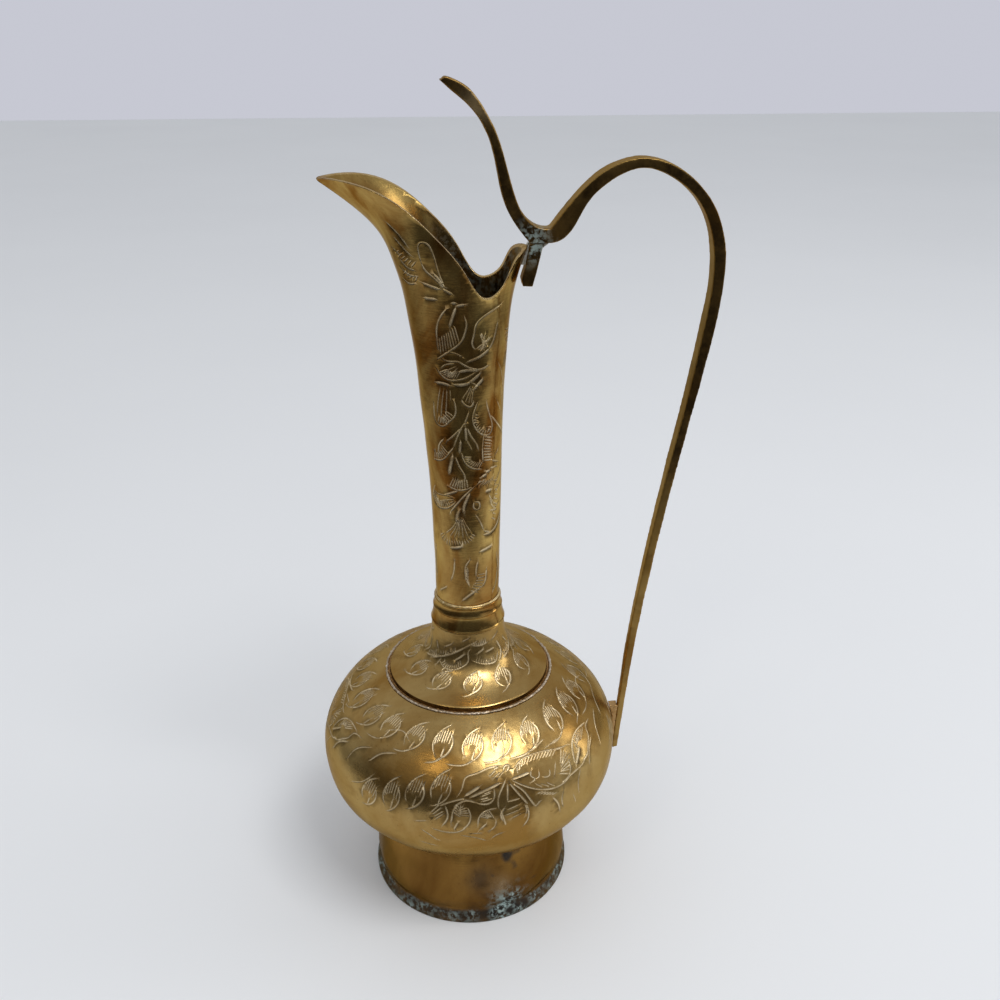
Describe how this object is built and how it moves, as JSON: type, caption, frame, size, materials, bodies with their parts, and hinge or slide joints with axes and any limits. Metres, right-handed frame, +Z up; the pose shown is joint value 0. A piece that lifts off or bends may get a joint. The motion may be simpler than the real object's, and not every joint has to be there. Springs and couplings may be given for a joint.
{
  "type": "brass ewer",
  "caption": "Tall pouring ewer: round belly on a ring foot, slim flared neck with a pinched spout, and a high arched strap handle with a thumb scroll.",
  "frame": {"origin": "centre of the foot's base plane, on the axis of the belly and foot", "axes": "+Z up along the vessel's axis, +X towards the handle, so that the spout points towards -X"},
  "size_m": [0.1443, 0.115, 0.3082],
  "materials": {
    "engraved_brass": "aged polished brass, hand engraved, with brown patina",
    "foot_brass": "plain satin brass, dark and verdigris spotted at the rim",
    "handle_brass": "cast and filed brass, dark brown patina",
    "solder": "dull grey-green tin solder, oxidised"
  },
  "bodies": {
    "root": {"foot": "foot_brass", "foot_solder": "solder", "lower_bowl": "engraved_brass", "belly_seam_solder": "solder", "upper_bowl": "engraved_brass", "shoulder_solder": "solder", "shoulder_cap": "engraved_brass", "neck_collar": "engraved_brass", "neck_solder": "solder", "neck_spout": "engraved_brass", "lip_solder": "solder", "handle": "handle_brass", "handle_lug": "handle_brass", "lug_solder": "solder", "handle_foot_solder": "solder"}
  },
  "joints": []
}
